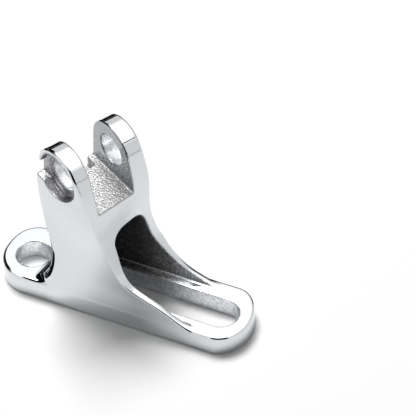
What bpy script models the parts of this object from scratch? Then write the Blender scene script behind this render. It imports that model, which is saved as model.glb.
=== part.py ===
"""Cast deck hinge body of polished stainless steel: a slotted foot, a hollow leaning tower and two skewed ears.

X runs along the foot towards the slot, Y across it, Z up. The foot stands on Z = 0, centred on the origin.
"""

import math

import bmesh
import bpy
import numpy as np
from mathutils import Matrix

MM = 0.001

# Foot, in millimetres.
FOOT_LENGTH = 62.0
FOOT_NEAR_SIDE = 8.0
FOOT_FAR_SIDE = 9.0
FOOT_THICK = 5.2
REAR_END_DEPTH = 8.0
REAR_FAR_SQUARENESS = 2.5
FRONT_END_DEPTH = 6.4
FOOT_TOP_ROUND = 0.7
FOOT_BOTTOM_INSET = 0.3
SCREW_HOLE_X = -23.8
SCREW_HOLE_DIAMETER = 8.2
SLOT_WIDTH = 8.4
SLOT_REAR_X = -8.0
SLOT_FRONT_X = 28.0

# Pivot and ears.
PIVOT_X = -6.25
PIVOT_Z = 42.0
PIVOT_SKEW = math.radians(-29.0)
PIVOT_BORE_DIAMETER = 8.0
EAR_RADIUS = 7.1
CLEVIS_GAP = 10.1
CLEVIS_FLOOR_Z = 35.0
NEAR_EAR_FACE = -9.3
NEAR_EAR_TAPER = 0.05
FAR_EAR_FACE = 9.35
TANGENT_ANGLE = 17.0
BULGE_HEIGHTS = (14.0, 22.0, 31.0, 36.0, 40.0, 44.0)
SIDE_BULGES = (0.0, 0.3, 0.8, 0.9, 0.5, 0.0)

# Spot face, its inner step and the side channel, all in the near ear.
SPOT_FACE_DIAMETER = 11.8
SPOT_FACE_DEPTH_FROM_PIVOT = 8.1
STEP_DIAMETER = 9.4
STEP_DEPTH_FROM_PIVOT = 7.6
CHANNEL_LOW_Z = 38.2
CHANNEL_HIGH_Z = 43.0

# Notch in the rear edge of the clevis floor.
NOTCH_WIDTH = 7.0
NOTCH_LENGTH = 2.9
NOTCH_DEPTH = 3.0

# Hollow under the clevis floor.
HOLLOW_ROOF_Z = 27.2
HOLLOW_REAR_WALL = 3.6
HOLLOW_ROOF_ROUND = 2.4
WALL_HEIGHTS = (5.0, 10.0, 16.0, 21.0, 27.5)
NEAR_WALLS = (1.5, 1.6, 2.3, 3.1, 3.9)
FAR_WALLS = (2.4, 2.5, 2.6, 2.5, 2.7)

# Corner lines of the tower below the ears, as rows of height, x, y.
NEAR_FRONT_LINE = (
    (5.2, 19.2, -7.96), (6.1, 17.3, -7.96), (7.6, 14.9, -7.96), (9.1, 12.4, -7.96), (10.0, 10.1, -7.97),
    (10.9, 7.7, -8.0), (12.0, 5.5, -8.08), (13.2, 4.0, -8.2), (14.9, 3.0, -8.4), (17.7, 2.1, -8.8),
    (20.8, 1.3, -9.3), (23.9, 0.6, -9.9), (27.4, -0.2, -10.5), (31.4, -0.8, -11.1), (35.0, -1.6, -11.35),
    (39.5, -2.9, -11.4),
)
FAR_FRONT_LINE = (
    (5.2, 19.0, 8.96), (5.8, 16.9, 8.96), (6.5, 14.6, 8.96), (7.2, 12.1, 8.93), (8.2, 10.8, 8.89),
    (9.4, 9.6, 8.8), (11.5, 8.5, 8.6), (13.2, 7.5, 8.37), (15.5, 6.45, 8.0), (17.5, 5.5, 7.6),
    (20.9, 4.8, 6.95), (24.0, 4.5, 6.3), (27.5, 4.6, 5.65), (32.0, 5.1, 5.0), (35.5, 5.35, 4.75),
    (39.5, 5.15, 4.7),
)
NEAR_REAR_LINE = (
    (5.2, -17.9, -7.9), (5.7, -16.7, -7.84), (6.6, -15.9, -7.76), (8.2, -15.3, -7.6), (10.5, -15.1, -7.35),
    (15.0, -15.3, -6.95), (20.0, -15.9, -6.45), (24.4, -16.55, -6.0), (28.5, -17.2, -5.6), (33.0, -17.75, -5.3),
    (38.0, -17.85, -5.1),
)
FAR_REAR_LINE = (
    (5.2, -17.9, 8.9), (5.7, -16.7, 8.86), (6.6, -15.9, 8.84), (8.2, -15.2, 8.85), (10.5, -14.6, 8.95),
    (15.0, -13.6, 9.3), (20.0, -12.4, 9.8), (25.0, -11.2, 10.4), (30.0, -10.0, 10.95), (34.5, -9.1, 11.3),
    (38.5, -8.45, 11.4),
)

PIVOT_AXIS = np.array([-math.sin(PIVOT_SKEW), math.cos(PIVOT_SKEW)])
EAR_FORWARD = np.array([math.cos(PIVOT_SKEW), math.sin(PIVOT_SKEW)])


def clear_scene():
    for item in list(bpy.data.objects):
        bpy.data.objects.remove(item, do_unlink=True)


def ear_point(forward, sideways):
    """Plan position of a point given along the ears and along the pivot axis."""
    return np.array([PIVOT_X, 0.0]) + forward * EAR_FORWARD + sideways * PIVOT_AXIS


def line_point(line, ear_end, height):
    """Plan position on a corner line, which runs on to where the ear's round top starts."""
    rows = np.array(line + (ear_end,))
    return np.array([np.interp(height, rows[:, 0], rows[:, 1]), np.interp(height, rows[:, 0], rows[:, 2])])


def tower_corners(height):
    """Near rear, near front, far front and far rear corners of the tower's section at this height."""
    start = PIVOT_Z + EAR_RADIUS * math.sin(math.radians(TANGENT_ANGLE))
    above = max(height, start) - PIVOT_Z
    reach = math.sqrt(max(EAR_RADIUS**2 - above**2, 0.0))
    top = [
        ear_point(-reach, NEAR_EAR_FACE - NEAR_EAR_TAPER * reach),
        ear_point(reach, NEAR_EAR_FACE + NEAR_EAR_TAPER * reach),
        ear_point(reach, FAR_EAR_FACE),
        ear_point(-reach, FAR_EAR_FACE),
    ]
    if height >= start:
        return np.array(top)
    lines = (NEAR_REAR_LINE, NEAR_FRONT_LINE, FAR_FRONT_LINE, FAR_REAR_LINE)
    return np.array([line_point(line, (start, *end), height) for line, end in zip(lines, top)])


def rounded_section(corners, radius, steps=3, bulge=None):
    """Points of a quadrilateral with its corners rounded by short curves and its two long sides bulged out."""
    points = []
    for index in range(4):
        here = corners[index]
        back = corners[index - 1] - here
        ahead = corners[(index + 1) % 4] - here
        reach_back = min(radius, 0.4 * np.linalg.norm(back))
        reach_ahead = min(radius, 0.4 * np.linalg.norm(ahead))
        start = here + back / np.linalg.norm(back) * reach_back
        end = here + ahead / np.linalg.norm(ahead) * reach_ahead
        for t in np.linspace(0.0, 1.0, steps + 1):
            points.append((1 - t) ** 2 * start + 2 * t * (1 - t) * here + t**2 * end)
        if bulge is None or index % 2:
            continue
        side = ahead / np.linalg.norm(ahead)
        outward = np.array([side[1], -side[0]])
        last = corners[(index + 1) % 4] - side * min(radius, 0.4 * np.linalg.norm(ahead))
        for t in (0.15, 0.325, 0.5, 0.675, 0.85):
            points.append(end + (last - end) * t + outward * bulge * 4 * t * (1 - t))
    return np.array(points)


def mesh_object(name, mesh_points, mesh_faces):
    """New object of these points, in millimetres, with its normals facing outwards."""
    mesh = bpy.data.meshes.new(name)
    mesh.from_pydata([tuple(point * MM) for point in np.asarray(mesh_points)], [], mesh_faces)
    build = bmesh.new()
    build.from_mesh(mesh)
    bmesh.ops.recalc_face_normals(build, faces=build.faces)
    build.to_mesh(mesh)
    build.free()
    item = bpy.data.objects.new(name, mesh)
    bpy.context.scene.collection.objects.link(item)
    return item


def loft(name, sections, heights):
    """Closed solid through level sections that all hold the same number of points."""
    count = len(sections[0])
    points = [np.append(point, height) for section, height in zip(sections, heights) for point in section]
    faces = []
    for level in range(len(sections) - 1):
        low = level * count
        for index in range(count):
            after = (index + 1) % count
            faces.append((low + index, low + after, low + count + after, low + count + index))
    faces.append(tuple(range(count))[::-1])
    faces.append(tuple(range((len(sections) - 1) * count, len(sections) * count)))
    return mesh_object(name, points, faces)


def foot_outline(inset, arc_steps=28):
    """Plan of the foot: straight sides, a blunt front end and a round rear end."""
    angles = np.linspace(-math.pi / 2, math.pi / 2, arc_steps + 1)
    half_width = np.where(angles < 0, FOOT_NEAR_SIDE - inset, FOOT_FAR_SIDE - inset)
    along = np.maximum(np.cos(angles), 0.0)
    across = np.sin(angles)
    fuller = 2 / np.where(angles > 0, REAR_FAR_SQUARENESS, 2.0)
    front_depth = FRONT_END_DEPTH - inset
    rear_depth = REAR_END_DEPTH - inset
    front_x = FOOT_LENGTH / 2 - FRONT_END_DEPTH + front_depth * along
    rear_x = -FOOT_LENGTH / 2 + REAR_END_DEPTH - rear_depth * along**fuller
    rear_y = half_width * np.sign(across) * np.abs(across) ** fuller
    front = np.stack([front_x, half_width * across], axis=1)
    rear = np.stack([rear_x, rear_y], axis=1)
    return np.concatenate([front, rear[::-1]])


def make_foot():
    turns = np.radians((0.0, 22.5, 45.0, 67.5, 90.0))
    insets = [FOOT_BOTTOM_INSET, 0.0]
    heights = [0.0, 0.5]
    for turn in turns:
        insets.append(FOOT_TOP_ROUND * (1 - math.cos(turn)))
        heights.append(FOOT_THICK - FOOT_TOP_ROUND * (1 - math.sin(turn)))
    return loft("hinge_body", [foot_outline(inset) for inset in insets], heights)


def make_tower():
    start = math.radians(TANGENT_ANGLE)
    low = [3.0, 5.2, 5.45, 5.7, 6.1, 6.6, 7.2, 7.9, 8.6, 9.3, 10.0, 10.8, 11.6, 12.4, 13.2, 14.2, 15.4, 16.8, 18.4]
    middle = [20.4, 22.6, 25.0, 27.5, 30.0, 32.5, 35.0, 37.2, 39.4, 41.8]
    turns = np.linspace(start, math.radians(88.0), 17)
    heights = low + middle + [PIVOT_Z + EAR_RADIUS * math.sin(turn) for turn in turns]
    sections = []
    for height in heights:
        bulge = float(np.interp(height, BULGE_HEIGHTS, SIDE_BULGES))
        sections.append(rounded_section(tower_corners(max(height, 5.2)), 0.45, bulge=bulge))
    return loft("tower", sections, heights)


def hollow_corners(height, shrink):
    """Tower corners moved in by the walls, and run out past the open front."""
    near_rear, near_front, far_front, far_rear = tower_corners(max(height, 5.2))
    near_wall = np.interp(height, WALL_HEIGHTS, NEAR_WALLS) + shrink
    far_wall = np.interp(height, WALL_HEIGHTS, FAR_WALLS) + shrink
    near_way = (near_front - near_rear) / np.linalg.norm(near_front - near_rear)
    far_way = (far_front - far_rear) / np.linalg.norm(far_front - far_rear)
    near_in = np.array([-near_way[1], near_way[0]]) * near_wall
    far_in = np.array([far_way[1], -far_way[0]]) * far_wall
    rear = HOLLOW_REAR_WALL + shrink
    return np.array(
        [
            near_rear + near_in + near_way * rear,
            near_front + near_in + near_way * 14.0,
            far_front + far_in + far_way * 14.0,
            far_rear + far_in + far_way * rear,
        ]
    )


def make_hollow():
    sections = []
    heights = []
    straight_top = HOLLOW_ROOF_Z - HOLLOW_ROOF_ROUND
    for height in (1.0, 6.5, 8.0, 9.5, 11.0, 12.5, 14.5, 17.0, 19.5, 22.0, straight_top):
        heights.append(height)
        sections.append(rounded_section(hollow_corners(height, 0.0), 1.5, 4))
    for turn in np.radians((22.0, 44.0, 66.0, 80.0, 90.0)):
        heights.append(straight_top + HOLLOW_ROOF_ROUND * math.sin(turn))
        shrink = HOLLOW_ROOF_ROUND * (1 - math.cos(turn))
        sections.append(rounded_section(hollow_corners(straight_top, shrink), 1.5, 4))
    return loft("hollow", sections, heights)


def hide(item):
    item.hide_render = True
    item.display_type = "WIRE"
    return item


def upright_cutter(name, rear_x, front_x, width):
    """Upright round-ended bar through the foot; a plain cylinder when both ends are at one place."""
    radius = width / 2
    turns = np.linspace(-math.pi / 2, math.pi / 2, 25)
    front = np.stack([front_x + radius * np.cos(turns), radius * np.sin(turns)], axis=1)
    rear = np.stack([rear_x - radius * np.cos(turns), -radius * np.sin(turns)], axis=1)
    if rear_x == front_x:
        front = front[:-1]
        rear = rear[:-1]
    outline = np.concatenate([front, rear])
    return loft(name, [outline, outline], [-4.0, 12.0])


def ear_frame():
    """Placement whose X runs along the ears, Y along the pivot axis and Z up, from the pivot's centre."""
    turn = Matrix.Rotation(PIVOT_SKEW, 4, "Z")
    return Matrix.Translation((PIVOT_X * MM, 0.0, PIVOT_Z * MM)) @ turn


def pivot_cylinder(name, diameter, start, end, segments=64):
    """Cylinder about the pivot axis from one distance along it to another."""
    mesh = bpy.data.meshes.new(name)
    build = bmesh.new()
    place = ear_frame() @ Matrix.Translation((0.0, (start + end) / 2 * MM, 0.0)) @ Matrix.Rotation(math.pi / 2, 4, "X")
    bmesh.ops.create_cone(
        build,
        cap_ends=True,
        segments=segments,
        radius1=diameter / 2 * MM,
        radius2=diameter / 2 * MM,
        depth=abs(end - start) * MM,
        matrix=place,
    )
    build.to_mesh(mesh)
    build.free()
    item = bpy.data.objects.new(name, mesh)
    bpy.context.scene.collection.objects.link(item)
    return item


def ear_box(name, forward, sideways, heights):
    """Block given by its ranges along the ears, along the pivot axis and in height."""
    mesh = bpy.data.meshes.new(name)
    build = bmesh.new()
    size = Matrix.Diagonal(
        ((forward[1] - forward[0]) * MM, (sideways[1] - sideways[0]) * MM, (heights[1] - heights[0]) * MM, 1.0)
    )
    centre = Matrix.Translation(
        (sum(forward) / 2 * MM, sum(sideways) / 2 * MM, (sum(heights) / 2 - PIVOT_Z) * MM)
    )
    bmesh.ops.create_cube(build, size=1.0, matrix=ear_frame() @ centre @ size)
    build.to_mesh(mesh)
    build.free()
    item = bpy.data.objects.new(name, mesh)
    bpy.context.scene.collection.objects.link(item)
    return item


def combine(body, other, operation):
    step = body.modifiers.new(f"{operation.lower()} {other.name}", "BOOLEAN")
    step.operation = operation
    step.solver = "EXACT"
    step.object = other


def polished_steel():
    material = bpy.data.materials.new("polished stainless steel")
    material.use_nodes = True
    shader = material.node_tree.nodes["Principled BSDF"]
    shader.inputs["Base Color"].default_value = (0.74, 0.75, 0.77, 1.0)
    shader.inputs["Metallic"].default_value = 1.0
    shader.inputs["Roughness"].default_value = 0.08
    return material


clear_scene()
tower = hide(make_tower())
combine(tower, hide(make_hollow()), "DIFFERENCE")
body = make_foot()
combine(body, tower, "UNION")

half_gap = CLEVIS_GAP / 2
far_end = SPOT_FACE_DEPTH_FROM_PIVOT + 10.0
cutters = (
    upright_cutter("screw_hole", SCREW_HOLE_X, SCREW_HOLE_X, SCREW_HOLE_DIAMETER),
    upright_cutter("slot", SLOT_REAR_X + SLOT_WIDTH / 2, SLOT_FRONT_X - SLOT_WIDTH / 2, SLOT_WIDTH),
    ear_box("clevis_gap", (-30.0, 30.0), (-half_gap, half_gap), (CLEVIS_FLOOR_Z, 60.0)),
    pivot_cylinder("pivot_bore", PIVOT_BORE_DIAMETER, -20.0, 20.0),
    pivot_cylinder("spot_face", SPOT_FACE_DIAMETER, -far_end, -SPOT_FACE_DEPTH_FROM_PIVOT),
    pivot_cylinder("spot_step", STEP_DIAMETER, -far_end, -STEP_DEPTH_FROM_PIVOT),
    ear_box("channel", (-20.0, 0.0), (-far_end, -SPOT_FACE_DEPTH_FROM_PIVOT), (CHANNEL_LOW_Z, CHANNEL_HIGH_Z)),
    ear_box(
        "rear_notch",
        (-20.0, -7.3 + NOTCH_LENGTH),
        (-NOTCH_WIDTH / 2, NOTCH_WIDTH / 2),
        (CLEVIS_FLOOR_Z - NOTCH_DEPTH, 60.0),
    ),
)
for cutter in cutters:
    combine(body, hide(cutter), "DIFFERENCE")

body.data.materials.append(polished_steel())
bpy.context.view_layer.objects.active = body
body.select_set(True)
bpy.ops.object.shade_auto_smooth(angle=math.radians(30.0))
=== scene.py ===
"""Deck hinge body: one investment casting in stainless steel, polished outside and as cast inside.

X runs along the foot towards the slot, Y across it, Z up. Shapes are worked out in millimetres and
put in as metres. A shape is given as a distance: below 0 inside it, above 0 outside.
"""

import math

import bpy
import numpy as np
from mathutils import Matrix


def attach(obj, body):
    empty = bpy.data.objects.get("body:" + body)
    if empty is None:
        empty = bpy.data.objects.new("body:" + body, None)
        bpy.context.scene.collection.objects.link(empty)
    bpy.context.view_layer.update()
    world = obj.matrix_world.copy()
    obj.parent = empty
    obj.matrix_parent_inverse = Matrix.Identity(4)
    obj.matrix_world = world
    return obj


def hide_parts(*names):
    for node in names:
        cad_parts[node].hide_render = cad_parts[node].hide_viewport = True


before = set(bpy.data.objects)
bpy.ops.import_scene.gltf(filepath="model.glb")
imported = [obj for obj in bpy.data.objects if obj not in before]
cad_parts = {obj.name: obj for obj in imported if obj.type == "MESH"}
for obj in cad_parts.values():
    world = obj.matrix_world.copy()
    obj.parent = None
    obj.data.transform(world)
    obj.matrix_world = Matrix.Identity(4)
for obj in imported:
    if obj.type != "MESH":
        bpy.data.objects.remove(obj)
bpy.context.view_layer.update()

# ----------------------------------------------------------------------------------------------------
# The foot: a flat plate with one blunt and one round end, cast in one with the rest. The polishing
# rounds its top edge over, and its underside is flat, to sit on the deck. Screws go through the
# round hole and the slot.
FOOT_LENGTH = 62.0
FOOT_NEAR_SIDE = 8.0
FOOT_FAR_SIDE = 9.0
FOOT_THICK = 5.2
REAR_END_DEPTH = 8.0
REAR_FAR_SQUARENESS = 2.5
FRONT_END_DEPTH = 6.4
FOOT_TOP_ROUND = 0.75
FOOT_BOTTOM_ROUND = 0.3
SCREW_HOLE_X = -23.8
SCREW_HOLE_RADIUS = 4.1
SLOT_HALF_WIDTH = 4.2
SLOT_REAR_X = -3.8
SLOT_FRONT_X = 23.8
HOLES_TOP_Z = 12.0
FILLET_ROUND = 0.6


def both(a, b, round_by):
    """Shape inside both a and b: the larger of their distances, a quarter circle rounding where they meet."""
    corner = np.hypot(np.maximum(a + round_by, 0.0), np.maximum(b + round_by, 0.0))
    return np.minimum(-round_by, np.maximum(a, b)) + corner


def either(a, b, round_by):
    """Shape inside a or b: the smaller of their distances, with a hollow quarter circle where they meet."""
    return -both(-a, -b, round_by)


def cut(body, tool, round_by=0.3):
    """Body with the tool taken out of it, the edge between them rounded."""
    return both(body, -tool, round_by)


def foot_plan(x, y):
    """Distance from the foot's outline, seen from above: each end is two quarters of a superellipse."""
    front = FOOT_LENGTH / 2 - FRONT_END_DEPTH
    rear = -FOOT_LENGTH / 2 + REAR_END_DEPTH
    half = np.where(y < 0, FOOT_NEAR_SIDE, FOOT_FAR_SIDE)
    past = np.where(x > 0, (x - front) / FRONT_END_DEPTH, (rear - x) / REAR_END_DEPTH)
    past = np.maximum(past, 0.0)
    power = np.where((x < 0) & (y > 0), REAR_FAR_SQUARENESS, 2.0)
    aside = np.abs(y) / half
    reach = np.maximum((past**power + aside**power) ** (1 / power), 0.05)
    slope_x = (past / reach) ** (power - 1) / np.where(x > 0, FRONT_END_DEPTH, REAR_END_DEPTH)
    slope_y = (aside / reach) ** (power - 1) / half
    return (reach - 1) / np.maximum(np.hypot(slope_x, slope_y), 0.05)


def bar_plan(x, y, rear_x, front_x, radius):
    """Distance from a round-ended bar's outline seen from above: a circle's where its two ends coincide."""
    return np.hypot(x - np.clip(x, rear_x, front_x), y) - radius


# ----------------------------------------------------------------------------------------------------
# The tower: cast in one with the foot, it narrows, leans and twists over to the skewed pivot. Its
# four corner lines, as rows of height, x and y, run up into the round tops of the two ears.
PIVOT_X = -6.25
PIVOT_Z = 42.0
PIVOT_SKEW = math.radians(-29.0)
PIVOT_AXIS = np.array([-math.sin(PIVOT_SKEW), math.cos(PIVOT_SKEW)])
EAR_FORWARD = np.array([math.cos(PIVOT_SKEW), math.sin(PIVOT_SKEW)])
EAR_RADIUS = 7.095
NEAR_EAR_FACE = -9.3
NEAR_EAR_TAPER = 0.05
FAR_EAR_FACE = 9.35
TANGENT_ANGLE = math.radians(17.0)
EAR_START_Z = PIVOT_Z + EAR_RADIUS * math.sin(TANGENT_ANGLE)
EAR_START_REACH = EAR_RADIUS * math.cos(TANGENT_ANGLE)
NEAR_REAR_LINE = (
    (5.2, -19.6, -7.9), (5.7, -18.4, -7.84), (6.6, -17.6, -7.76), (8.2, -16.9, -7.6),
    (10.5, -16.3, -7.35), (15.0, -15.9, -6.95), (20.0, -16.1, -6.45), (24.4, -16.6, -6.0),
    (28.5, -17.2, -5.6), (33.0, -17.75, -5.3), (38.0, -17.85, -5.1),
)
NEAR_FRONT_LINE = (
    (5.2, 19.2, -7.96), (6.1, 17.3, -7.96), (7.6, 14.9, -7.96), (9.1, 12.4, -7.96), (10.0, 10.1, -7.97),
    (10.9, 7.7, -8.0), (12.0, 5.5, -8.08), (13.2, 4.0, -8.2), (14.9, 3.0, -8.4), (17.7, 2.1, -8.8),
    (20.8, 1.3, -9.3), (23.9, 0.6, -9.9), (27.4, -0.2, -10.5), (31.4, -0.8, -11.06), (35.0, -1.6, -11.28),
    (39.5, -2.9, -11.33),
)
FAR_FRONT_LINE = (
    (5.2, 19.6, 8.96), (5.8, 17.8, 8.96), (6.5, 16.0, 8.96), (7.2, 14.2, 8.93), (8.2, 12.5, 8.89),
    (9.4, 11.0, 8.8), (11.5, 9.4, 8.6), (13.2, 8.1, 8.37), (15.5, 6.6, 8.0), (17.5, 5.5, 7.6),
    (20.9, 4.8, 6.95), (24.0, 4.5, 6.3), (27.5, 4.6, 5.65), (32.0, 5.1, 5.0), (35.5, 5.35, 4.75),
    (39.5, 5.15, 4.7),
)
FAR_REAR_LINE = (
    (5.2, -17.9, 8.9), (5.7, -16.7, 8.86), (6.6, -15.9, 8.84), (8.2, -15.2, 8.85), (10.5, -14.6, 8.95),
    (15.0, -13.6, 9.3), (20.0, -12.4, 9.8), (25.0, -11.2, 10.4), (30.0, -10.0, 10.95), (34.5, -9.1, 11.3),
    (38.5, -8.45, 11.4),
)
BULGE_HEIGHTS = (14.0, 22.0, 31.0, 36.0, 40.0, 44.0)
SIDE_BULGES = (0.0, 0.3, 0.8, 0.9, 0.5, 0.0)
EDGE_ROUND = 0.42
REAR_NEAR_ROUND = 2.0
REAR_NEAR_ROUND_X = -8.0
RAIL_ROUND = 1.4
EAR_ROUND = 0.25
LOW_ROUND_TOP_Z = 26.0
LOW_ROUND_FADE = 12.0
RAIL_ROUND_TOP_Z = 16.0
EAR_ROUND_LOW_Z = 36.0
ROUND_FADE = 4.0
TOWER_LOW_Z = 3.0
EAR_BLEND = 0.3
LINE_RUN_UP = 4.5
LINE_RUN_DOWN = 0.8
LINE_EASE = 0.8
LEVELS = np.arange(0.0, 54.0, 0.05)


def eased(values, heights, spread=0.45):
    """The same values averaged over nearby heights with a bell-shaped weight, so that no crease shows."""
    step = heights[1] - heights[0]
    reach = int(3 * spread / step)
    weight = np.exp(-0.5 * (np.arange(-reach, reach + 1) * step / spread) ** 2)
    before = 2 * values[0] - values[reach:0:-1]
    after = 2 * values[-1] - values[-2 : -reach - 2 : -1]
    return np.convolve(np.concatenate([before, values, after]), weight / weight.sum(), "valid")


def curve_through(heights, values, at):
    """Smooth curve through the rows: a cubic between each two, sloping at each as its neighbours do."""
    steepness = np.gradient(values, heights)
    row = np.clip(np.searchsorted(heights, at) - 1, 0, len(heights) - 2)
    length = heights[row + 1] - heights[row]
    t = np.clip((at - heights[row]) / length, 0.0, 1.0)
    from_low = (1 + 2 * t) * values[row] + t * length * steepness[row]
    from_high = (3 - 2 * t) * values[row + 1] - (1 - t) * length * steepness[row + 1]
    return (1 - t) ** 2 * from_low + t**2 * from_high


def corner_table(line, forward_sign, face, taper):
    """Plan position of one corner line at each of LEVELS, running on in a straight line past its two ends."""
    rows = np.array(line)
    for above in (0.0, LINE_RUN_UP):
        forward = forward_sign * (EAR_START_REACH - above * math.tan(TANGENT_ANGLE))
        place = np.array([PIVOT_X, 0.0]) + forward * EAR_FORWARD + (face + taper * forward) * PIVOT_AXIS
        rows = np.vstack([rows, [EAR_START_Z + above, *place]])
    foot_slope = (rows[1] - rows[0]) / (rows[1, 0] - rows[0, 0])
    rows = np.vstack([rows[0] - foot_slope * LINE_RUN_DOWN, rows])
    curves = [curve_through(rows[:, 0], rows[:, axis], LEVELS) for axis in (1, 2)]
    return [eased(curve, LEVELS, LINE_EASE) for curve in curves]


CORNERS = (
    corner_table(NEAR_REAR_LINE, -1, NEAR_EAR_FACE, NEAR_EAR_TAPER),
    corner_table(NEAR_FRONT_LINE, 1, NEAR_EAR_FACE, NEAR_EAR_TAPER),
    corner_table(FAR_FRONT_LINE, 1, FAR_EAR_FACE, 0.0),
    corner_table(FAR_REAR_LINE, -1, FAR_EAR_FACE, 0.0),
)


def tower_corners(z):
    """Plan position of the tower's four corners at these heights."""
    return [(np.interp(z, LEVELS, line[0]), np.interp(z, LEVELS, line[1])) for line in CORNERS]


def side_distances(x, y, corners, bulge):
    """Distance outside each of four upright sides, the first and third of them bulged out by a parabola."""
    found = []
    for index in range(4):
        from_x, from_y = corners[index]
        to_x, to_y = corners[(index + 1) % 4]
        length = np.hypot(to_x - from_x, to_y - from_y)
        along_x, along_y = (to_x - from_x) / length, (to_y - from_y) / length
        aside = (x - from_x) * along_y - (y - from_y) * along_x
        if index % 2 == 0:
            share = np.clip(((x - from_x) * along_x + (y - from_y) * along_y) / length, 0.0, 1.0)
            aside = aside - bulge * 4 * share * (1 - share)
        found.append(aside)
    return found


def leaning_sides(x, y, z, corners_at, bulge_at):
    """Side distances made true ones: each is divided by the length of its slope with height."""
    step = 0.15
    below = side_distances(x, y, corners_at(z - step), bulge_at(z - step))
    above = side_distances(x, y, corners_at(z + step), bulge_at(z + step))
    here = side_distances(x, y, corners_at(z), bulge_at(z))
    return [mid / np.hypot(1.0, (high - low) / (2 * step)) for low, mid, high in zip(below, here, above)]


def tower_field(x, y, z, forward):
    """Distance from the tower and the ears as one block, before anything is cut out of it."""
    near, front, far, rear = leaning_sides(
        x, y, z, tower_corners, lambda height: np.interp(height, BULGE_HEIGHTS, SIDE_BULGES)
    )
    crest = np.hypot(forward, z - PIVOT_Z) - EAR_RADIUS
    share = np.clip((z - EAR_START_Z) / EAR_BLEND + 0.5, 0.0, 1.0)
    front = front * (1 - share) + crest * share
    rear = rear * (1 - share) + crest * share
    ends = np.maximum(front, rear)
    sides = np.maximum(near, far)
    low = np.clip((LOW_ROUND_TOP_Z - z) / LOW_ROUND_FADE, 0.0, 1.0)
    rear_round = REAR_NEAR_ROUND * low * low * (3 - 2 * low) * ((x < REAR_NEAR_ROUND_X) & (y < 0))
    rail_round = RAIL_ROUND * np.clip((RAIL_ROUND_TOP_Z - z) / ROUND_FADE, 0.0, 1.0)
    rail_round = rail_round * ((x > 0.0) & (y > 0))
    ear_round = EAR_ROUND * np.clip((z - EAR_ROUND_LOW_Z) / ROUND_FADE, 0.0, 1.0)
    block = both(ends, sides, EDGE_ROUND + rear_round + rail_round + ear_round)
    return np.maximum(block, TOWER_LOW_Z - z)


# ----------------------------------------------------------------------------------------------------
# The hollow under the clevis floor: left as cast, open to the front and to the slot below it. Its
# near wall thickens as it rises, and its far wall stays nearly even.
HOLLOW_ROOF_Z = 26.9
HOLLOW_STRAIGHT_Z = 24.8
HOLLOW_REAR_WALL = 3.6
HOLLOW_ROOF_ROUND = 3.6
HOLLOW_CORNER_ROUND = 1.3
HOLLOW_EDGE_ROUND = 0.5
HOLLOW_LOW_Z = 4.9
PAST_THE_FRONT = 14.0
WALL_EASE = 1.2
WALL_HEIGHTS = (5.0, 10.0, 16.0, 21.0, 27.5)
NEAR_WALLS = (1.5, 1.6, 2.4, 3.4, 4.4)
FAR_WALLS = (2.4, 2.5, 2.6, 2.5, 2.7)
NEAR_WALL = eased(np.interp(LEVELS, WALL_HEIGHTS, NEAR_WALLS), LEVELS, WALL_EASE)
FAR_WALL = eased(np.interp(LEVELS, WALL_HEIGHTS, FAR_WALLS), LEVELS, WALL_EASE)


def hollow_corners(z):
    """The tower's corners moved in by its walls, and run out past the open front."""
    z = np.minimum(z, HOLLOW_STRAIGHT_Z)
    near_rear, near_front, far_front, far_rear = tower_corners(np.maximum(z, HOLLOW_LOW_Z))
    moved = []
    for rear, front, wall, inward in (
        (near_rear, near_front, np.interp(z, LEVELS, NEAR_WALL), 1),
        (far_rear, far_front, np.interp(z, LEVELS, FAR_WALL), -1),
    ):
        length = np.hypot(front[0] - rear[0], front[1] - rear[1])
        way_x, way_y = (front[0] - rear[0]) / length, (front[1] - rear[1]) / length
        in_x, in_y = -way_y * wall * inward, way_x * wall * inward
        moved.append((rear[0] + in_x + way_x * HOLLOW_REAR_WALL, rear[1] + in_y + way_y * HOLLOW_REAR_WALL))
        moved.append((front[0] + in_x + way_x * PAST_THE_FRONT, front[1] + in_y + way_y * PAST_THE_FRONT))
    return moved[0], moved[1], moved[3], moved[2]


def hollow_field(x, y, z):
    """Distance from the hollow, whose corners and roof are rounded."""
    near, front, far, rear = leaning_sides(x, y, z, hollow_corners, np.zeros_like)
    plan = both(np.maximum(near, far), np.maximum(front, rear), HOLLOW_CORNER_ROUND)
    return both(plan, z - HOLLOW_ROOF_Z, HOLLOW_ROOF_ROUND)


# ----------------------------------------------------------------------------------------------------
# The clevis: a level gap between two ears, cast in one with the tower and bored across for the hinge
# pin. The near ear's outer face has a stepped spot face round the bore, with a channel running out
# of it to the rear, and the floor of the gap has a notch.
CLEVIS_HALF_GAP = 5.05
CLEVIS_FLOOR_Z = 35.0
PIVOT_BORE_RADIUS = 4.0
SPOT_FACE_RADIUS = 5.9
SPOT_FACE_DEPTH = 8.1
STEP_RADIUS = 4.7
STEP_DEPTH = 7.6
CHANNEL_LOW_Z = 38.2
CHANNEL_HIGH_Z = 43.0
NOTCH_HALF_WIDTH = 3.5
NOTCH_FRONT = -4.4
NOTCH_LOW_Z = 32.0
GAP_INNER_ROUND = 0.5
RECESS_INNER_ROUND = 0.1
CHANNEL_INNER_ROUND = 0.15
NOTCH_INNER_ROUND = 0.5
NOTCH_FLOOR_ROUND = 0.4
CUT_ROUNDS = (
    ("screw_hole", 0.3), ("slot", 0.3), ("gap", 0.35), ("bore", 0.25), ("spot", 0.2), ("step", 0.12),
    ("channel", 0.2), ("notch", 0.25),
)


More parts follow.
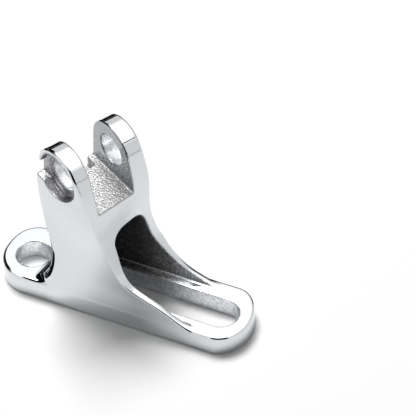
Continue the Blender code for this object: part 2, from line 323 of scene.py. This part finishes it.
def clevis_tools(x, y, z, forward, across):
    """Distances from each of the spaces that are cut through or into the ears and the clevis floor."""
    from_axis = np.hypot(forward, z - PIVOT_Z)
    bore = from_axis - PIVOT_BORE_RADIUS
    gap = both(np.abs(across) - CLEVIS_HALF_GAP, CLEVIS_FLOOR_Z - z, GAP_INNER_ROUND)
    spot = both(from_axis - SPOT_FACE_RADIUS, across + SPOT_FACE_DEPTH, RECESS_INNER_ROUND)
    step = both(from_axis - STEP_RADIUS, across + STEP_DEPTH, RECESS_INNER_ROUND)
    channel_sides = np.maximum(CHANNEL_LOW_Z - z, z - CHANNEL_HIGH_Z)
    channel_plan = np.maximum(channel_sides, forward)
    channel = both(channel_plan, across + SPOT_FACE_DEPTH, CHANNEL_INNER_ROUND)
    notch_plan = both(np.abs(across) - NOTCH_HALF_WIDTH, forward - NOTCH_FRONT, NOTCH_INNER_ROUND)
    notch = both(notch_plan, NOTCH_LOW_Z - z, NOTCH_FLOOR_ROUND)
    return {"bore": bore, "gap": gap, "spot": spot, "step": step, "channel": channel, "notch": notch}


def casting_fields(points):
    """Distance from the whole casting at these points, and from each of its cut spaces."""
    x, y, z = points[..., 0], points[..., 1], points[..., 2]
    forward = (x - PIVOT_X) * EAR_FORWARD[0] + y * EAR_FORWARD[1]
    across = (x - PIVOT_X) * PIVOT_AXIS[0] + y * PIVOT_AXIS[1]
    plan = foot_plan(x, y)
    tools = clevis_tools(x, y, z, forward, across)
    tools["hollow"] = hollow_field(x, y, z)
    screw_hole = bar_plan(x, y, SCREW_HOLE_X, SCREW_HOLE_X, SCREW_HOLE_RADIUS)
    slot = bar_plan(x, y, SLOT_REAR_X, SLOT_FRONT_X, SLOT_HALF_WIDTH)
    tools["screw_hole"] = np.maximum(screw_hole, z - HOLES_TOP_Z)
    tools["slot"] = np.maximum(slot, z - HOLES_TOP_Z)
    tower = cut(tower_field(x, y, z, forward), tools["hollow"], HOLLOW_EDGE_ROUND)
    above_foot = either(tower, z - FOOT_THICK, FILLET_ROUND)
    foot = both(both(above_foot, plan, FOOT_TOP_ROUND), -z, FOOT_BOTTOM_ROUND)
    body = np.minimum(tower, foot)
    for name, round_by in CUT_ROUNDS:
        body = cut(body, tools[name], round_by)
    return body, tools


def slopes(points, step=0.02):
    """Direction in which the distance grows fastest, from its differences over a small step each way."""
    found = np.empty_like(points)
    for axis in range(3):
        shift = np.zeros(3)
        shift[axis] = step
        found[:, axis] = casting_fields(points + shift)[0] - casting_fields(points - shift)[0]
    return found / (2 * step)


# ----------------------------------------------------------------------------------------------------
# The casting as one skin: the distance is taken on a grid of small cubes. Each cube that the skin passes
# through gets one point, pulled to where the skin's local planes meet, and the points are joined in fours.
# It is one casting, so it is one piece, with a zone for each finish and two of painted shade and light.
PITCH = 0.31
GRID_LOW = np.array([-31.9, -12.2, -0.8])
GRID_HIGH = np.array([31.9, 12.2, 50.0])
GRID_SLICE = 24
PULL_TO_MEAN = 0.03


def cube_skin(pitch):
    """Points and four-cornered faces of the skin, the points being placed so that edges stay crisp."""
    low = GRID_LOW
    count = np.ceil((GRID_HIGH - low) / pitch).astype(int) + 1
    axes = [low[k] + pitch * np.arange(count[k]) for k in range(3)]
    grid = np.stack(np.meshgrid(*axes, indexing="ij"), axis=-1)
    field = np.empty(tuple(count))
    for start in range(0, count[0], GRID_SLICE):
        field[start : start + GRID_SLICE] = casting_fields(grid[start : start + GRID_SLICE])[0]
    sums = np.zeros((np.prod(count), 4))
    products = np.zeros((np.prod(count), 12))
    strides = np.array([count[1] * count[2], count[2], 1])
    quads = []
    for axis in range(3):
        first = np.take(field, range(count[axis] - 1), axis)
        second = np.take(field, range(1, count[axis]), axis)
        at = np.argwhere((first < 0) != (second < 0))
        u, v = (axis + 1) % 3, (axis + 2) % 3
        at = at[(at[:, u] > 0) & (at[:, v] > 0)]
        a = first[tuple(at.T)]
        b = second[tuple(at.T)]
        crossing = low + pitch * at
        crossing[:, axis] += pitch * a / (a - b)
        normal = slopes(crossing)
        normal /= np.linalg.norm(normal, axis=1)[:, None]
        reach = (normal * crossing).sum(axis=1)
        squares = (normal[:, :, None] * normal[:, None, :]).reshape(-1, 9)
        row = np.column_stack([squares, normal * reach[:, None]])
        cell = at @ strides
        around = [cell, cell - strides[u], cell - strides[u] - strides[v], cell - strides[v]]
        for near in around:
            np.add.at(products, near, row)
            np.add.at(sums, near, np.column_stack([crossing, np.ones(len(at))]))
        ring = np.stack(around, axis=1)
        quads.append(np.where((a < 0)[:, None], ring, ring[:, ::-1]))
    used = np.flatnonzero(sums[:, 3])
    mean = sums[used, :3] / sums[used, 3:]
    pull = PULL_TO_MEAN * sums[used, 3]
    matrix = products[used, :9].reshape(-1, 3, 3) + pull[:, None, None] * np.eye(3)
    points = np.linalg.solve(matrix, (products[used, 9:] + pull[:, None] * mean)[:, :, None])[:, :, 0]
    cell_low = low + pitch * np.stack(np.unravel_index(used, tuple(count)), axis=1)
    points = np.clip(points, cell_low, cell_low + pitch)
    place = np.empty(np.prod(count), int)
    place[used] = np.arange(len(used))
    return points, place[np.concatenate(quads)]


def settled(points, rounds=2):
    """Points moved along the steepest slope by their distance from the skin, in this many rounds."""
    for _ in range(rounds):
        slope = slopes(points)
        steep = np.maximum((slope**2).sum(axis=1), 0.2)
        points = points - (casting_fields(points)[0] / steep)[:, None] * slope
    return points


points, quads = cube_skin(PITCH)
points = settled(points)
normals = slopes(points, 0.06)
normals /= np.linalg.norm(normals, axis=1)[:, None]

mesh = bpy.data.meshes.new("polished_casting")
mesh.vertices.add(len(points))
mesh.vertices.foreach_set("co", (points * 0.001).ravel())
mesh.loops.add(quads.size)
mesh.loops.foreach_set("vertex_index", quads.ravel())
mesh.polygons.add(len(quads))
mesh.polygons.foreach_set("loop_start", np.arange(0, quads.size, 4))
mesh.update(calc_edges=True)
mesh.polygons.foreach_set("use_smooth", np.ones(len(quads), bool))
mesh.validate()
casting = bpy.data.objects.new("polished_casting", mesh)
bpy.context.scene.collection.objects.link(casting)
mesh.normals_split_custom_set_from_vertices(normals)

tools = casting_fields(points)[1]


def shown(*names, within=0.3):
    """Share of each point on the wall of one of these cut spaces: 1 on it, falling to 0 a little way off."""
    nearest = np.min([np.abs(tools[name]) for name in names], axis=0)
    return np.clip(1.6 * (1 - nearest / within), 0.0, 1.0)


# Zones of finish: 1 on the skin that has it, falling to 0 past its edge. The last two are slow changes
# of painted shade and painted light: darker across the clevis floor, and lighter towards the hollow's
# mouth. wiped_front is the panel over that mouth.
ZONE_EDGE = 0.3
FLOOR_EDGE = 0.4
RECESS_EDGE = 0.2
LEDGE_FRONT_X = 15.0
LEDGE_FADE = 7.0
PANEL_LOW_Z = 9.0
PANEL_TOP_Z = 37.0
PANEL_FADE = 4.0
HOLLOW_SKIN_LOW_Z = 5.35
# Where the painted shade on the clevis floor starts, and over what distance it deepens.
FLOOR_SHADE_FROM = -1.0
FLOOR_SHADE_FADE = 10.0
# Where the painted light in the hollow starts, and over what distance it grows.
PAINTED_LIGHT_FROM = 1.0
PAINTED_LIGHT_FADE = 11.0
x, y, z = points.T
forward = (x - PIVOT_X) * EAR_FORWARD[0] + y * EAR_FORWARD[1]
across = (x - PIVOT_X) * PIVOT_AXIS[0] + y * PIVOT_AXIS[1]
ledge = np.clip(1 - np.abs(z - FOOT_THICK) / ZONE_EDGE, 0.0, 1.0)
ledge *= np.clip(-tools["hollow"] / ZONE_EDGE, 0.0, 1.0)
ledge *= np.clip((LEDGE_FRONT_X - x) / LEDGE_FADE, 0.0, 1.0)
clevis_floor = shown("gap") * np.clip(1 - np.abs(z - CLEVIS_FLOOR_Z) / FLOOR_EDGE, 0.0, 1.0)
panel = normals[:, 0] * EAR_FORWARD[0] + normals[:, 1] * EAR_FORWARD[1]
panel = np.clip((panel - 0.6) / 0.2, 0.0, 1.0) * np.clip((PANEL_TOP_Z - z) / PANEL_FADE, 0.0, 1.0)
hollow_skin = shown("hollow") * np.clip((z - HOLLOW_SKIN_LOW_Z) / ZONE_EDGE, 0.0, 1.0)
masks = {
    "hollow_skin": np.maximum(hollow_skin, ledge),
    "cast_skin": np.maximum(clevis_floor, shown("notch", within=RECESS_EDGE)),
    "recess": shown("spot", "step", "channel", within=RECESS_EDGE),
    "satin_cheek": shown("gap") * (1 - clevis_floor),
    "machined": shown("bore", "screw_hole", "slot"),
    "wiped_front": panel * (z > PANEL_LOW_Z),
    # Painted shade: darker across the clevis floor, towards its front far corner.
    "floor_shade": np.clip((across + forward - FLOOR_SHADE_FROM) / FLOOR_SHADE_FADE, 0.0, 1.0),
    # Painted light: the hollow paler towards its mouth.
    "painted_mouth_light": np.clip((x - PAINTED_LIGHT_FROM) / PAINTED_LIGHT_FADE, 0.0, 1.0),
}
for name, values in masks.items():
    mesh.attributes.new(name, "FLOAT", "POINT").data.foreach_set("value", values.astype(np.float32))


class Wire:
    """Shader value that is added, multiplied and so on as in a formula, each step adding a Math node."""

    def __init__(self, tree, socket):
        self.tree = tree
        self.socket = socket

    def node(self, kind, settings=(), **sockets):
        """Adds a node of this type, sets its settings, then its sockets, and gives back the node."""
        made = self.tree.nodes.new(kind)
        for name, value in dict(settings).items():
            setattr(made, name, value)
        for name, value in sockets.items():
            place = int(name[1:]) if name[0] == "_" and name[1:].isdigit() else name.replace("_", " ")
            if isinstance(value, Wire):
                self.tree.links.new(value.socket, made.inputs[place])
            else:
                made.inputs[place].default_value = value
        return made

    def wire(self, kind, output=0, settings=(), **sockets):
        """Adds a node in the same way and gives back one of its outputs as a value."""
        return Wire(self.tree, self.node(kind, settings, **sockets).outputs[output])

    def math(self, operation, *values, clamp=False):
        """Adds a Math node with these values on its sockets, in order."""
        sockets = {f"_{place}": value for place, value in enumerate(values)}
        return self.wire("ShaderNodeMath", settings={"operation": operation, "use_clamp": clamp}, **sockets)

    def __add__(self, other):
        return self.math("ADD", self, other)

    __radd__ = __add__

    def __mul__(self, other):
        return self.math("MULTIPLY", self, other)

    __rmul__ = __mul__

    def __sub__(self, other):
        return self.math("SUBTRACT", self, other)

    def __rsub__(self, other):
        return self.math("SUBTRACT", other, self)

    def step(self, low, high):
        """0 below low, 1 above high, and a smooth rise between."""
        return self.wire(
            "ShaderNodeMapRange", settings={"interpolation_type": "SMOOTHSTEP"}, _0=self, _1=low, _2=high
        )


def colour_mix(share, a, b):
    """Colour between a and b, by this share."""
    made = share.node("ShaderNodeMix", {"data_type": "RGBA"}, _0=share)
    for place, value in ((6, a), (7, b)):
        if isinstance(value, Wire):
            share.tree.links.new(value.socket, made.inputs[place])
        else:
            made.inputs[place].default_value = (*value, 1.0)
    return Wire(share.tree, made.outputs[2])


POLISHED = (0.675, 0.693, 0.708)
MACHINED_DARK = (0.56, 0.57, 0.59)
MACHINED_LIGHT = (0.84, 0.85, 0.87)
SATIN_DARK = (0.29, 0.30, 0.32)
SATIN_LIGHT = (0.38, 0.395, 0.42)
RECESS_DARK = (0.20, 0.20, 0.21)
RECESS_LIGHT = (0.50, 0.505, 0.515)
CAST_DARK = (0.16, 0.16, 0.165)
CAST_LIGHT = (0.72, 0.72, 0.72)
# Painted shade on the clevis floor.
CAST_SHADED = (0.44, 0.44, 0.43)
# The hollow's as-cast grain, with painted shade very dark deep inside and painted light at its mouth.
HOLLOW_SHADED_DARK = (0.035, 0.036, 0.04)
HOLLOW_SHADED_LIGHT = (0.22, 0.225, 0.235)
HOLLOW_LIT_DARK = (0.20, 0.205, 0.21)
HOLLOW_LIT_LIGHT = (0.80, 0.80, 0.81)
SKIN_RELIEF = 0.00022


# The grain on the clevis floor and in the hollow carries painted shade and painted light.
def casting_finish():
    """Mirror polish, satin between the ears, grain where the wheel can't reach, and machined holes."""
    material = bpy.data.materials.new("stainless_casting")
    material.use_nodes = True
    tree = material.node_tree
    shader = tree.nodes["Principled BSDF"]
    start = Wire(tree, None)
    place = start.wire("ShaderNodeTexCoord", 3)
    zone = {name: start.wire("ShaderNodeAttribute", 2, {"attribute_name": name}) for name in masks}
    grain = start.wire("ShaderNodeTexNoise", 0, Vector=place, Scale=2600.0, Detail=4.0, Roughness=0.65)
    crystals = start.wire("ShaderNodeTexVoronoi", 0, Vector=place, Scale=2400.0)
    cloud = start.wire("ShaderNodeTexNoise", 0, Vector=place, Scale=160.0, Detail=3.0)
    wipe = start.wire("ShaderNodeTexNoise", 0, Vector=place, Scale=900.0, Detail=6.0, Roughness=0.7)
    machined = colour_mix(wipe.step(0.35, 0.65), MACHINED_DARK, MACHINED_LIGHT)
    colour = colour_mix(zone["machined"], POLISHED, machined)
    # Painted shade across the clevis floor.
    cast_light = colour_mix(zone["floor_shade"], CAST_LIGHT, CAST_SHADED)
    # Painted shade deep in the hollow, fading to painted light at its mouth.
    hollow_dark = colour_mix(zone["painted_mouth_light"], HOLLOW_SHADED_DARK, HOLLOW_LIT_DARK)
    hollow_light = colour_mix(zone["painted_mouth_light"], HOLLOW_SHADED_LIGHT, HOLLOW_LIT_LIGHT)
    for name, dark, light in (
        ("recess", RECESS_DARK, RECESS_LIGHT),
        ("satin_cheek", SATIN_DARK, SATIN_LIGHT),
        ("cast_skin", CAST_DARK, cast_light),
        ("hollow_skin", hollow_dark, hollow_light),
    ):
        colour = colour_mix(zone[name], colour, colour_mix(grain.step(0.35, 0.66), dark, light))
    tree.links.new(colour.socket, shader.inputs["Base Color"])
    coarse = start.math("MAXIMUM", zone["hollow_skin"], zone["cast_skin"])
    polished_rough = 0.035 + cloud.step(0.35, 0.75) * 0.03
    coarse_edge = start.math("MULTIPLY", coarse, 3.0, clamp=True)
    roughness = (
        polished_rough
        + zone["wiped_front"] * 0.25
        + zone["satin_cheek"] * 0.08
        + zone["machined"] * (0.2 + wipe * 0.12)
        + zone["recess"] * (0.24 + grain * 0.1)
        + coarse_edge * 0.34
        + coarse * crystals * 0.2
    )
    tree.links.new(roughness.socket, shader.inputs["Roughness"])
    shader.inputs["Metallic"].default_value = 1.0
    skin = grain + crystals * 0.6
    height = skin * coarse + skin * zone["recess"] * 0.25 + wipe * zone["machined"] * 0.15 + wipe * 0.0015
    bump = start.wire("ShaderNodeBump", Strength=0.85, Distance=SKIN_RELIEF, Height=height)
    tree.links.new(bump.socket, shader.inputs["Normal"])
    return material


mesh.materials.append(casting_finish())
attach(casting, "root")
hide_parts("hinge_body")

# ----------------------------------------------------------------------------------------------------
# The studio: a white paper table and a broad soft key light above and behind on the left. Black cards
# stand round the set, because polish with nothing dark to mirror looks like plaster, and a small one
# floats just above the foot by the tower's near rear corner. They show only in reflections.
TABLE_HALF_SIDE = 3.0
TABLE_Z = -0.00005
CORNER_CARD_X = -0.0165
CORNER_CARD_Y = -0.0070
CORNER_CARD_Z = 0.007
CORNER_CARD_BEARING = -88
CORNER_CARD_TURN = 43
CORNER_CARD_INNER = 0.0005
CORNER_CARD_WIDTH = 0.0069
KEY_BEARING = 50
KEY_TILT = -22
KEY_DISTANCE = 2.0
WALLS_IN_POLISH = 0.86
CEILING_IN_POLISH = 0.8
WALLS_ON_PAPER = 0.15
scene = bpy.context.scene
scene.view_settings.view_transform = "Standard"


def stage_mesh(name, rows, columns, place_of):
    """Sheet over a grid of two parameters from 0 to 1, each grid point put where place_of says."""
    across, up = np.meshgrid(np.linspace(0, 1, columns), np.linspace(0, 1, rows))
    corners = np.stack(place_of(across, up), axis=-1).reshape(-1, 3)
    first = (np.arange(rows - 1)[:, None] * columns + np.arange(columns - 1)).ravel()
    faces = np.stack([first, first + 1, first + columns + 1, first + columns], axis=1)
    sheet = bpy.data.meshes.new(name)
    sheet.from_pydata(corners.tolist(), [], faces.tolist())
    item = bpy.data.objects.new(name, sheet)
    scene.collection.objects.link(item)
    return item


def bearing(degrees):
    """X and Y of a direction seen from above, turned clockwise from the far side by this angle."""
    return np.sin(np.radians(degrees)), np.cos(np.radians(degrees))


def stage_finish(name, colour, roughness):
    """Plain material with no gloss of its own, for paper and card."""
    material = bpy.data.materials.new(name)
    material.use_nodes = True
    shader = material.node_tree.nodes["Principled BSDF"]
    shader.inputs["Base Color"].default_value = (*colour, 1.0)
    shader.inputs["Roughness"].default_value = roughness
    shader.inputs["Specular IOR Level"].default_value = 0.0
    return material


table = stage_mesh(
    "table", 2, 2,
    lambda across, up: (
        (across * 2 - 1) * TABLE_HALF_SIDE, (up * 2 - 1) * TABLE_HALF_SIDE, 0 * up + TABLE_Z
    ),
)
table.data.materials.append(stage_finish("white_paper", (0.93, 0.93, 0.93), 1.0))

# Each card's name, its first and last bearing, its distance, and the heights of its two edges.
cards = []
for name, first, last, radius, low, high in (
    ("flag_lower", -118, 26, 0.17, 0.0, 0.064),
    ("flag_upper", -112, 26, 0.17, 0.0665, 0.088),
    ("flag_left", -104, -50, 0.172, 0.088, 0.20),
    ("flag_front", 120, 188, 0.22, 0.0, 0.30),
    ("flag_rim", 62, 88, 0.40, 0.405, 0.44),
):
    cards.append(stage_mesh(
        name, 2, 33,
        lambda across, up: (
            *(radius * part for part in bearing(first + across * (last - first))), low + up * (high - low)
        ),
    ))


def corner_card_place(across, up):
    """Sector of a flat ring: the radius grows with up, the bearing turns with across."""
    way_x, way_y = bearing(CORNER_CARD_BEARING - across * CORNER_CARD_TURN)
    radius = CORNER_CARD_INNER + up * CORNER_CARD_WIDTH
    return CORNER_CARD_X + radius * way_x, CORNER_CARD_Y + radius * way_y, CORNER_CARD_Z + 0 * up


cards.append(stage_mesh("flag_corner", 2, 9, corner_card_place))
black_card = stage_finish("black_card", (0.004, 0.004, 0.004), 1.0)
for card in cards:
    card.data.materials.append(black_card)
    card.visible_camera = False
    card.visible_diffuse = False
    card.visible_shadow = False

key_data = bpy.data.lights.new("key", "AREA")
key_data.energy = 41.0
key_data.size = 0.85
key = bpy.data.objects.new("key", key_data)
scene.collection.objects.link(key)
key.matrix_world = (
    Matrix.Rotation(math.radians(KEY_BEARING), 4, "Z")
    @ Matrix.Rotation(math.radians(KEY_TILT), 4, "X")
    @ Matrix.Translation((0, 0, KEY_DISTANCE))
)

world = bpy.data.worlds.new("studio")
world.use_nodes = True
scene.world = world
air = Wire(world.node_tree, None)
height_share = air.wire("ShaderNodeSeparateXYZ", 2, Vector=air.wire("ShaderNodeTexCoord", 0))
ray = air.node("ShaderNodeLightPath")
lit_by_walls = Wire(world.node_tree, ray.outputs["Is Diffuse Ray"])
mirrored = WALLS_IN_POLISH + height_share.step(0.55, 0.8) * CEILING_IN_POLISH
strength = mirrored * (1 - lit_by_walls) + lit_by_walls * WALLS_ON_PAPER
background = world.node_tree.nodes["Background"]
background.inputs["Color"].default_value = (1, 1, 1, 1)
world.node_tree.links.new(strength.socket, background.inputs["Strength"])

camera_data = bpy.data.cameras.new("camera")
camera_data.lens = 259.615
camera_data.sensor_width = 36.0
camera_data.clip_start = 0.01
camera_data.clip_end = 20.0
camera = bpy.data.objects.new("camera", camera_data)
scene.collection.objects.link(camera)
camera.matrix_world = Matrix(
    (
        (0.9065, -0.2759, 0.3196, 0.23142),
        (0.4208, 0.6520, -0.6308, -0.41362),
        (-0.0344, 0.7063, 0.7071, 0.50153),
        (0, 0, 0, 1),
    )
)
scene.camera = camera
